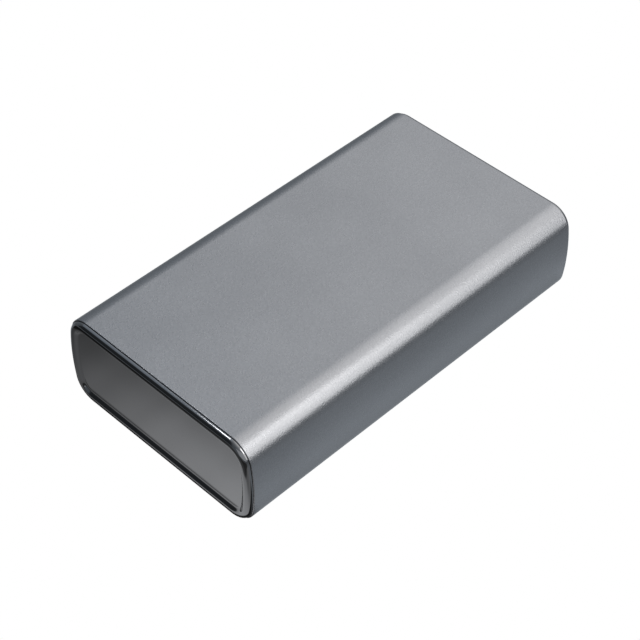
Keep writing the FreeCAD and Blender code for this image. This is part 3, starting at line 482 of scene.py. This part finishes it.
# --- Mesh building ------------------------------------------------------------------------
def outline(inset, arc_steps=20, side_steps=10):
    """The case's cross-section as (x, z) points, moved inwards by inset, clockwise from its top's right."""
    corner = CORNER_RADIUS - inset
    side = SIDE_RADIUS - inset
    quarter = []
    for i in range(arc_steps + 1):
        angle = math.pi / 2 + (CORNER_JOIN - math.pi / 2) * i / arc_steps
        quarter.append((CORNER_X + corner * math.cos(angle), CORNER_RISE + corner * math.sin(angle)))
    for i in range(1, side_steps + 1):
        angle = CORNER_JOIN * (1 - i / side_steps)
        quarter.append((SIDE_CENTRE_X + side * math.cos(angle), side * math.sin(angle)))
    right = quarter + [(x, -z) for x, z in reversed(quarter[:-1])]
    left = [(-x, -z) for x, z in right]
    return [(x, z + HEIGHT / 2) for x, z in right + left]


def loop_at(points, y):
    return [(x, y, z) for x, z in points]


class Build:
    """Collects loops of points, in millimetres, into one mesh."""

    def __init__(self):
        self.bm = bmesh.new()

    def ring(self, points):
        return [self.bm.verts.new(Vector(p) * MM) for p in points]

    def bridge(self, first, second):
        count = len(first)
        for i in range(count):
            j = (i + 1) % count
            self.bm.faces.new((first[i], first[j], second[j], second[i]))

    def tube(self, loops, closed=False):
        """Bridges each loop to the next, and the last to the first if closed. Returns the rings."""
        rings = [self.ring(points) for points in loops]
        for first, second in zip(rings, rings[1:]):
            self.bridge(first, second)
        if closed:
            self.bridge(rings[-1], rings[0])
        return rings

    def fill(self, ring, holes=()):
        """Fills a flat loop, leaving the holes open."""
        if not holes:
            return self.bm.faces.new(ring)
        edges = []
        for each in (ring, *holes):
            for i, vert in enumerate(each):
                after = each[(i + 1) % len(each)]
                edges.append(self.bm.edges.get((vert, after)) or self.bm.edges.new((vert, after)))
        bmesh.ops.triangle_fill(self.bm, use_beauty=True, use_dissolve=False, edges=edges)

    def solid(self, loops):
        """A tube with both ends filled."""
        rings = self.tube(loops)
        self.fill(rings[0])
        self.fill(rings[-1])

    def finish(self, name, material, angle=35.0):
        """Makes the mesh a piece with smooth shading, sharp where faces meet at more than the angle."""
        bmesh.ops.recalc_face_normals(self.bm, faces=self.bm.faces)
        mesh = bpy.data.meshes.new(name)
        self.bm.to_mesh(mesh)
        self.bm.free()
        mesh.polygons.foreach_set("use_smooth", [True] * len(mesh.polygons))
        mesh.set_sharp_from_angle(angle=math.radians(angle))
        piece = bpy.data.objects.new(name, mesh)
        bpy.context.scene.collection.objects.link(piece)
        piece.data.materials.append(material)
        weigh_normals(piece)
        return piece


def weigh_normals(piece):
    """Keeps large flat faces flat where they meet small rounded ones."""
    modifier = piece.modifiers.new("weighted_normals", "WEIGHTED_NORMAL")
    modifier.keep_sharp = True
    modifier.weight = 100


# --- Case ---------------------------------------------------------------------------------
def make_sleeve(material):
    """The extruded tube, with rounded outer edges at both ends."""
    edge, inner_edge = 0.15, 0.05
    rounding = []
    for i in range(4):
        angle = math.pi / 2 * i / 3
        rounding.append((edge * (1 - math.sin(angle)), SLEEVE_END - edge * (1 - math.cos(angle))))
    sections = [(inset, -y) for inset, y in rounding] + [(inset, y) for inset, y in reversed(rounding)]
    sections += [(WALL - inner_edge, SLEEVE_END), (WALL, SLEEVE_END - inner_edge)]
    sections += [(WALL, -SLEEVE_END + inner_edge), (WALL - inner_edge, -SLEEVE_END)]
    build = Build()
    build.tube([loop_at(outline(inset), y) for inset, y in sections], closed=True)
    piece = build.finish("sleeve_shell", material)
    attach(piece, "case")
    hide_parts("sleeve")


def cap_sections():
    """A cap's skin at the +Y end, as (inset, y) from the skirt's root to the face."""
    rim_run = CREST_INSET - CREST_LAND - RIM_INSET
    rim_rise = CREST_Y - RIM_Y
    sections = [(SKIRT_INSET, SLEEVE_END), (GROOVE_INSET, SLEEVE_END), (GROOVE_INSET, RIM_Y)]
    for i in range(13):
        angle = math.pi / 2 * i / 12
        sections.append((RIM_INSET + rim_run * (1 - math.cos(angle)), RIM_Y + rim_rise * math.sin(angle)))
    dish_start = CREST_INSET + CREST_LAND
    for i in range(15):
        t = i / 14
        drop = (CREST_Y - FACE_Y) * (1 - math.cos(math.pi * t)) / 2
        sections.append((dish_start + (FACE_INSET - dish_start) * t, CREST_Y - drop))
    return sections


def add_snap_arm(build, end, side):
    """The arm and hook on a cap's inner side, from its tip back into the plate."""
    inner_x, outer_x, hook_x, middle_x = 22.8, 23.8, 24.5, 23.4
    low_z, high_z = 9.5, 13.5
    edge, pinch = 0.15, 0.15
    root_y = PLATE_Y + 0.2
    corners = [(inner_x, 38.1), (inner_x + 0.1, 38.0), (outer_x, 38.0), (hook_x, 39.5), (outer_x, 39.5)]
    corners += [(outer_x, root_y), (inner_x, root_y)]
    loops = []
    for z, share in ((low_z, pinch), (low_z + edge, 0), (high_z - edge, 0), (high_z, pinch)):
        loops.append([(side * (x + (middle_x - x) * share), end * y, z) for x, y in corners])
    build.solid(loops)


def circle(x, z, radius, steps=48):
    angles = [2 * math.pi * i / steps for i in range(steps)]
    return [(x + radius * math.cos(a), z + radius * math.sin(a)) for a in angles]


def rounded_box(x, z, width, height, radius, steps=8):
    """A rectangle with round corners, as points anticlockwise from its right."""
    points = []
    for quadrant, (sx, sz) in enumerate(((1, 1), (-1, 1), (-1, -1), (1, -1))):
        cx = x + sx * (width / 2 - radius)
        cz = z + sz * (height / 2 - radius)
        for i in range(steps + 1):
            angle = math.pi / 2 * (quadrant + i / steps)
            points.append((cx + radius * math.cos(angle), cz + radius * math.sin(angle)))
    return points


def make_cap(name, node, end, holes, material):
    """A cap and its snap arms. end is 1 or -1, and holes are outlines by how far they are widened."""
    edge = 0.12
    inner = SKIRT_INSET + SKIRT_WALL
    root = [(inner, PLATE_Y), (inner, SKIRT_Y), (SKIRT_INSET, SKIRT_Y)]
    build = Build()
    rings = build.tube([loop_at(outline(inset), end * y) for inset, y in root + cap_sections()])
    mouths, backs = [], []
    for hole in holes:
        loops = [loop_at(hole(edge), end * FACE_Y), loop_at(hole(0), end * (FACE_Y - edge))]
        loops.append(loop_at(hole(0), end * PLATE_Y))
        passage = build.tube(loops)
        mouths.append(passage[0])
        backs.append(passage[-1])
    build.fill(rings[-1], mouths)
    build.fill(rings[0], backs)
    for side in (-1, 1):
        add_snap_arm(build, end, side)
    piece = build.finish(name, material)
    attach(piece, "case")
    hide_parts(node)


BUTTON_X, BUTTON_Z = 18.5, 11.0
KEY_RADIUS = 3.2
KEY_PLAY = 0.08
LIGHT_X = [7.4, 9.4, 11.4, 13.4]
PIN_RADIUS = 0.75
PIN_PLAY = 0.05
# Each socket's opening: its middle's x and z, its width and its height.
USB_A = (-14.0, 10.95, 13.4, 6.0)
USB_C = (0.5, 9.7, 9.24, 3.5)


def port_holes():
    """The outline of each opening in the port end, as a function of how far it is widened."""
    def usb_a(wider):
        x, z, width, height = USB_A
        return rounded_box(x, z, width + 2 * wider, height + 2 * wider, 0.75 + wider)

    def usb_c(wider):
        x, z, width, height = USB_C
        return rounded_box(x, z, width + 2 * wider, height + 2 * wider, height / 2 + wider - 0.001, 16)

    def button(wider):
        return circle(BUTTON_X, BUTTON_Z, KEY_RADIUS + KEY_PLAY + wider, 64)

    def light(x):
        return lambda wider: circle(x, BUTTON_Z, PIN_RADIUS + PIN_PLAY + wider * 0.5, 32)

    return [usb_a, usb_c, button] + [light(x) for x in LIGHT_X]


def turned(build, x, z, profile, steps=64):
    """A closed solid turned round a line along Y. The profile is (radius, y), from end to end."""
    build.solid([loop_at(circle(x, z, radius, steps), y) for radius, y in profile])


def make_button(material):
    """A round key with a slightly dished face, a flange behind the cap and a stem on the switch."""
    low, high = (corner.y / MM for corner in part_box("power_button"))
    flange_rear, flange_front = PLATE_Y - 0.87, PLATE_Y - 0.02
    stem, flange, edge, rounding = 1.4, 3.9, 0.08, 0.35
    dish_radius, dish_depth = 2.7, 0.16
    profile = [(0.05, low), (stem - edge, low), (stem, low + edge), (stem, flange_rear)]
    profile += [(flange - edge, flange_rear), (flange, flange_rear + edge), (flange, flange_front - edge)]
    profile += [(flange - edge, flange_front), (KEY_RADIUS, flange_front), (KEY_RADIUS, high - rounding)]
    for i in range(1, 7):
        angle = math.pi / 2 * i / 6
        radius = KEY_RADIUS - rounding + rounding * math.cos(angle)
        profile.append((radius, high - rounding + rounding * math.sin(angle)))
    for i in range(1, 9):
        t = i / 8
        profile.append((dish_radius * (1 - t) + 0.02, high - dish_depth * (1 - (1 - t) ** 2)))
    build = Build()
    turned(build, BUTTON_X, BUTTON_Z, profile, 72)
    piece = build.finish("button_key", material, 40.0)
    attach(piece, "button")
    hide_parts("power_button")


def make_snap_dome(material):
    """The sprung sheet under the plunger, which in the real switch flattens as the button goes in; this piece
    keeps its resting shape.
    """
    low, high = (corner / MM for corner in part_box("switch_dome"))
    reach, rise, sheet = (high.x - low.x) / 2, high.y - low.y, 0.1
    steps = [max(i / 10, 0.01) for i in range(11)]
    under = [((reach - sheet) * t, high.y - sheet - (rise - sheet) * t * t) for t in steps]
    over = [(reach * t, high.y - rise * t * t) for t in steps]
    build = Build()
    turned(build, BUTTON_X, BUTTON_Z, under + over[::-1], 48)
    piece = build.finish("snap_dome", material, 40.0)
    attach(piece, "case")
    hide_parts("switch_dome")
    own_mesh(piece)


def block(build, low, high, edge=0.1):
    """A box with bevelled edges, as one closed solid."""
    (x0, y0, z0), (x1, y1, z1) = low, high
    middle_x, middle_z = (x0 + x1) / 2, (z0 + z1) / 2
    loops = []
    for y, inset in ((y0, edge), (y0 + edge, 0), (y1 - edge, 0), (y1, edge)):
        outline_xz = rounded_box(middle_x, middle_z, x1 - x0 - 2 * inset, z1 - z0 - 2 * inset, edge, 2)
        loops.append(loop_at(outline_xz, y))
    build.solid(loops)


def make_light_guide(material):
    """Four pins with domed ends, on a shoulder behind the cap and a block over the lamps."""
    low, high = (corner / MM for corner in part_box("light_pipe"))
    build = Build()
    shoulder_y, block_y, pin_y = 43.9, 42.2, 41.3
    point, dome = 0.02, 0.14
    block(build, (low.x, shoulder_y, BUTTON_Z - 1), (high.x, PLATE_Y - 0.02, BUTTON_Z + 1))
    block(build, low, (high.x, block_y, BUTTON_Z + 1))
    profile = [(point, pin_y), (PIN_RADIUS, pin_y), (PIN_RADIUS, high.y - dome)]
    for i in range(1, 7):
        share = math.cos(math.radians(12 + 13 * i)) / math.cos(math.radians(12))
        profile.append((max(PIN_RADIUS * share, point), high.y - dome * share ** 2))
    for x in LIGHT_X:
        turned(build, x, BUTTON_Z, profile, 32)
    piece = build.finish("light_guide", material, 40.0)
    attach(piece, "case")
    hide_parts("light_pipe")


def make_socket_springs(material):
    """Four sprung fingers inside the USB-A shell, curving into the plug's space and back."""
    low, high = (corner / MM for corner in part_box("usb_a_shell"))
    middle = (low.x + high.x) / 2
    shell_wall, opening = 0.3, 5.1
    roof_z = high.z - shell_wall
    floor_z = roof_z - opening
    rise = [(40.4, 0.0), (41.2, 0.03), (42.2, 0.2), (43.1, 0.38), (43.7, 0.42), (44.2, 0.34), (44.7, 0.14)]
    aside, sheet = 3.0, 0.16
    taper_y, taper = 43, 0.22
    build = Build()
    for wall, inward in ((floor_z, 1), (roof_z, -1)):
        for x in (middle - aside, middle + aside):
            loops = []
            for y, bend in rise:
                half = 1.0 - taper * max(y - taper_y, 0)
                z0 = wall + inward * (bend - sheet * 0.5)
                z1 = wall + inward * (bend + sheet * 0.5)
                loops.append([(x - half, y, z0), (x + half, y, z0), (x + half, y, z1), (x - half, y, z1)])
            build.solid(loops)
    piece = build.finish("usb_a_springs", material, 50.0)
    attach(piece, "case")


def make_pad(name, low, high, material, replaced, radius, belly, crown):
    """Squeezed foam: its sides belly out between its faces, and its faces are crowned towards the edges."""
    low, high = Vector(low), Vector(high)
    middle = (low + high) / 2
    width, depth, height = high - low
    build = Build()
    loops = []
    reach = min(width, depth) / 2 - 0.3
    faces = [(reach, 0.0), (reach * 0.6, 0.0), (reach * 0.3, 0.12), (reach * 0.12, 0.5)]
    sides = [(belly + 0.12, 0.1 * height), (belly * 0.35, 0.28 * height), (0.0, 0.5 * height)]
    lower = [(inset, low.z + crown * sink) for inset, sink in faces] + [(i, low.z + z) for i, z in sides]
    upper = [(inset, high.z - (z - low.z)) for inset, z in reversed(lower[:-1])]
    for inset, z in lower + upper:
        rounding = max(radius - inset, 0.25)
        corners = rounded_box(middle.x, middle.y, width - 2 * inset, depth - 2 * inset, rounding, 6)
        loops.append([(x, y, z) for x, y in corners])
    build.solid(loops)
    piece = build.finish(name, material, 60.0)
    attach(piece, "case")
    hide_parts(replaced)


def make_foam(material):
    """Two pads between the cells and the sleeve's top, and a cushion between the cells and the plain cap."""
    low, high = (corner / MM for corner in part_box("top_foam_pads"))
    rear_length, front_length = 24.0, 8.0
    rear = ("rear_foam_pad", low.y, low.y + rear_length)
    front = ("front_foam_pad", high.y - front_length, high.y)
    for name, y0, y1 in (rear, front):
        make_pad(name, (low.x, y0, low.z), (high.x, y1, high.z), material, "top_foam_pads", 1.0, 0.25, 0.12)
    low, high = (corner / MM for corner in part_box("end_cushion"))
    make_pad("cap_cushion", low, high, material, "end_cushion", 1.2, 0.6, 0.5)


# --- Camera, floor and light --------------------------------------------------------------
CAMERA_AZIMUTH = 44.907
CAMERA_ELEVATION = 45.012
CAMERA_ROLL = 0.068
CAMERA_PLACE = (183.16, -185.79, 266.26)
CAMERA_LENS = 99.96


def make_camera():
    """The camera's azimuth, elevation and roll are in degrees and its place is in millimetres."""
    data = bpy.data.cameras.new("camera")
    data.lens = CAMERA_LENS
    data.sensor_width = 36.0
    data.clip_start = 0.01
    data.clip_end = 20.0
    camera = bpy.data.objects.new("camera", data)
    bpy.context.scene.collection.objects.link(camera)
    camera.location = Vector(CAMERA_PLACE) * MM
    tilt = math.radians(90 - CAMERA_ELEVATION)
    camera.rotation_euler = (tilt, 0, math.radians(CAMERA_AZIMUTH))
    camera.rotation_euler.rotate_axis("Z", math.radians(-CAMERA_ROLL))
    bpy.context.scene.camera = camera


def grey(level, blue=1.0):
    """A grey, slightly blue where blue is over 1 and slightly warm where it is under."""
    return (level * (2 - blue), level, level * blue)


def flat_plane(name, half_size, height_mm, material):
    mesh = bpy.data.meshes.new(name)
    low, high, z = -half_size, half_size, height_mm * MM
    mesh.from_pydata([(low, low, z), (high, low, z), (high, high, z), (low, high, z)], [], [(0, 1, 2, 3)])
    mesh.materials.append(material)
    plane = bpy.data.objects.new(name, mesh)
    bpy.context.scene.collection.objects.link(plane)
    return plane


def glowing(name):
    """A material that only gives light, and its graph."""
    material = bpy.data.materials.new(name)
    material.use_nodes = True
    tree = material.node_tree
    tree.nodes.remove(tree.nodes["Principled BSDF"])
    emission = tree.nodes.new("ShaderNodeEmission")
    tree.links.new(emission.outputs[0], tree.nodes["Material Output"].inputs["Surface"])
    return material, Graph(tree), emission


# In front of the plain cap, the table's light is a level by x times a fade by the distance in front. Around
# the rest of the object it goes by the distance from it. Each list is (millimetres, level). This glow is
# painted
# light and shade: darker to the front-left, a painted shadow of the object, and brighter to the right, a
# painted pool of light. It is nearly black within about a millimetre in front of the cap, darker again from
# about 15 mm out, and a little darker right against the object's sides, a painted contact shadow.
STAGE_SIZE = 3.0
TABLE_LEVEL = 1.3
FADE_PEAK = 1.2
FRONT_LEVELS = [(-60, 0.12), (-42, 0.13), (-34, 0.17), (-24, 0.27), (-12, 0.38), (-4, 0.48)]
FRONT_LEVELS += [(9, 0.585), (18, 0.67), (25, 0.69), (33, 0.35), (60, 0.40)]
FRONT_FADE = [(0, 0.05), (1.12, 0.06), (1.36, 1.2), (3, 1.18), (12, 0.90), (13.2, 0.85), (15.5, 0.2)]
FRONT_FADE += [(55, 0.15), (120, 0.4)]
AROUND_LEVELS = [(0, 0.42), (4, 0.52), (8, 0.49), (14, 0.43), (22, 0.38), (60, 0.30), (120, 0.24)]


def make_floor():
    """A table that glows with painted light and shade, which the object's reflections show, over a white
    sheet that the camera sees from above.
    """
    material, g, emission = glowing("table")
    split = g.add("ShaderNodeSeparateXYZ")
    g.put(split.inputs[0], g.scaled(g.add("ShaderNodeTexCoord").outputs["Object"], 1 / MM))
    x, y = split.outputs["X"], split.outputs["Y"]
    beyond_x = g.maths("MAXIMUM", g.maths("SUBTRACT", g.maths("ABSOLUTE", x), HALF_WIDTH), 0.0)
    beyond_y = g.maths("MAXIMUM", g.maths("SUBTRACT", g.maths("ABSOLUTE", y), CREST_Y), 0.0)
    squares = [g.maths("MULTIPLY", each, each) for each in (beyond_x, beyond_y)]
    away = g.maths("SQRT", g.maths("ADD", *squares))
    # Painted shade: the glow dips right against the object, a painted contact shadow, and is darker to the
    # front-left, a painted shadow of the object.
    around = g.ramp(away, 0, 120, [(at, grey(level / TABLE_LEVEL, 1.08)) for at, level in AROUND_LEVELS])
    brightest = TABLE_LEVEL / FADE_PEAK
    across = g.ramp(x, -60, 60, [(at, grey(level / brightest, 1.02)) for at, level in FRONT_LEVELS])
    lift = g.ramp(beyond_y, 0, 120, [(at, grey(level / FADE_PEAK)) for at, level in FRONT_FADE])
    front = g.add("ShaderNodeMix", data_type="RGBA", blend_type="MULTIPLY")
    front.inputs["Factor"].default_value = 1.0
    g.put(front.inputs["A"], across)
    g.put(front.inputs["B"], lift)
    in_front = g.smooth(y, -SLEEVE_END + 4, -SLEEVE_END, 0, 1)
    in_front = g.maths("MULTIPLY", in_front, g.smooth(away, 90, 130, 1, 0))
    aside = g.smooth(g.maths("SUBTRACT", beyond_x, g.maths("MULTIPLY", beyond_y, 2.0)), 8, 18, 1, 0)
    mixed = g.add("ShaderNodeMix", data_type="RGBA")
    g.put(mixed.inputs["Factor"], g.maths("MULTIPLY", in_front, aside))
    g.put(mixed.inputs["A"], around)
    g.put(mixed.inputs["B"], front.outputs["Result"])
    g.put(emission.inputs["Color"], mixed.outputs["Result"])
    emission.inputs["Strength"].default_value = TABLE_LEVEL
    plane = flat_plane("table", STAGE_SIZE, -0.05, material)
    plane.visible_camera = False

    material, g, emission = glowing("sheet")
    emission.inputs["Strength"].default_value = 1.0
    from_below = g.add("ShaderNodeMixShader")
    g.put(from_below.inputs["Fac"], g.add("ShaderNodeNewGeometry").outputs["Backfacing"])
    g.put(from_below.inputs[1], emission.outputs[0])
    g.put(from_below.inputs[2], g.add("ShaderNodeBsdfTransparent").outputs[0])
    g.put(g.tree.nodes["Material Output"].inputs["Surface"], from_below.outputs[0])
    plane = flat_plane("sheet", STAGE_SIZE, -0.5, material)
    plane.visible_glossy = False
    plane.visible_diffuse = False
    plane.visible_shadow = False


def make_backdrop():
    """A white dome that only the camera sees."""
    material, g, emission = glowing("backdrop")
    emission.inputs["Strength"].default_value = 1.0
    bm = bmesh.new()
    bmesh.ops.create_icosphere(bm, subdivisions=4, radius=STAGE_SIZE - 0.1)
    mesh = bpy.data.meshes.new("backdrop")
    bm.to_mesh(mesh)
    bm.free()
    mesh.materials.append(material)
    dome = bpy.data.objects.new("backdrop", mesh)
    bpy.context.scene.collection.objects.link(dome)
    for ray in ("diffuse", "glossy", "transmission", "volume_scatter", "shadow"):
        setattr(dome, "visible_" + ray, False)


def softbox(name, azimuth, elevation, spread, rise, radiance, colour, distance=1.2):
    """An area light facing the object. Spread and rise are its half angles seen from there, in degrees."""
    data = bpy.data.lights.new(name, "AREA")
    data.shape = "RECTANGLE"
    data.size = 2 * distance * math.tan(math.radians(spread))
    data.size_y = 2 * distance * math.tan(math.radians(rise))
    data.energy = radiance * math.pi * data.size * data.size_y
    data.color = colour
    light = bpy.data.objects.new(name, data)
    bpy.context.scene.collection.objects.link(light)
    away = heading(azimuth, elevation)
    light.location = away * distance
    light.rotation_euler = away.to_track_quat("Z", "Y").to_euler()
    light.visible_camera = False


def heading(azimuth, elevation):
    """The direction at these angles in degrees. Azimuth 0 is +X and 90 is +Y."""
    a, e = math.radians(azimuth), math.radians(elevation)
    return Vector((math.cos(a) * math.cos(e), math.sin(a) * math.cos(e), math.sin(e)))


# How bright the room is at each angle from its darkest place, which is beyond the plain cap and to -X, and
# what the glow behind adds at each angle from its own middle. Angles are in degrees.
DARK_AZIMUTH = 232.0
DARK_ELEVATION = 10.0
ROOM_LEVELS = [(0, 0.05), (38, 0.06), (58, 0.24), (90, 0.35), (180, 0.38)]
GLOW_AZIMUTH = 64.0
GLOW_ELEVATION = 57.0
GLOW_LEVELS = [(0, 1.4), (18, 1.1), (40, 0.38), (60, 0.12), (85, 0.0), (180, 0.0)]


# Each light's name, azimuth, elevation, spread and rise in degrees, radiance and colour.
SOFTBOXES = [
    ("top_box", 108, 35, 30, 22, 0.45, (1.0, 0.99, 0.98)),
    ("key_box", 20, 31, 22, 26, 1.72, (1.0, 0.985, 0.96)),
    ("left_box", 185, 58, 22, 18, 0.24, (0.6, 0.78, 1.0)),
    ("rim_box", 187, 62.1, 6, 1.5, 14.0, (1, 1, 1)),
    ("glint_box", 10, 46, 3.5, 13, 5.0, (1, 1, 1)),
    ("rear_fill", 318, 16, 36, 22, 0.5, (1, 1, 1)),
]


def make_world():
    """The room's light, from all directions."""
    world = bpy.data.worlds.new("studio")
    world.use_nodes = True
    g = Graph(world.node_tree)
    background = world.node_tree.nodes["Background"]
    direction = g.add("ShaderNodeTexCoord").outputs["Generated"]

    def falloff(azimuth, elevation, levels, blue, squeeze=1.0):
        """Levels by the angle from a heading, which grows squeeze times as fast to either side."""
        side = heading(azimuth + 90, 0)
        stretch = g.maths("MULTIPLY", g.vector("DOT_PRODUCT", direction, side), squeeze - 1)
        seen = g.vector("NORMALIZE", g.vector("ADD", direction, g.scaled(side, stretch)))
        toward = g.vector("DOT_PRODUCT", seen, heading(azimuth, elevation))
        angle = g.maths("ARCCOSINE", g.maths("MULTIPLY", toward, 0.9999))
        return g.ramp(angle, 0.0, math.pi, [(math.radians(at), grey(level, blue)) for at, level in levels])

    room = falloff(DARK_AZIMUTH, DARK_ELEVATION, ROOM_LEVELS, 1.11, 2.6)
    glow = falloff(GLOW_AZIMUTH, GLOW_ELEVATION, GLOW_LEVELS, 0.97)
    g.put(background.inputs["Color"], g.vector("ADD", room, glow))
    bpy.context.scene.world = world


make_camera()
make_floor()
make_backdrop()
make_world()
for light in SOFTBOXES:
    softbox(*light)
bpy.context.scene.view_settings.view_transform = "Standard"

materials = make_materials()
dress_nodes(materials)
tin_output_capacitors()
make_sleeve(materials["sleeve_metal"])
make_cap("plain_cap_shell", "plain_end_cap", -1, [], materials["cap_plastic"])
make_cap("port_cap_shell", "port_end_cap", 1, port_holes(), materials["cap_plastic"])
make_button(materials["button_plastic"])
make_snap_dome(materials["nickel"])
make_light_guide(materials["clear_plastic"])
make_socket_springs(materials["socket_steel"])
make_foam(materials["foam"])
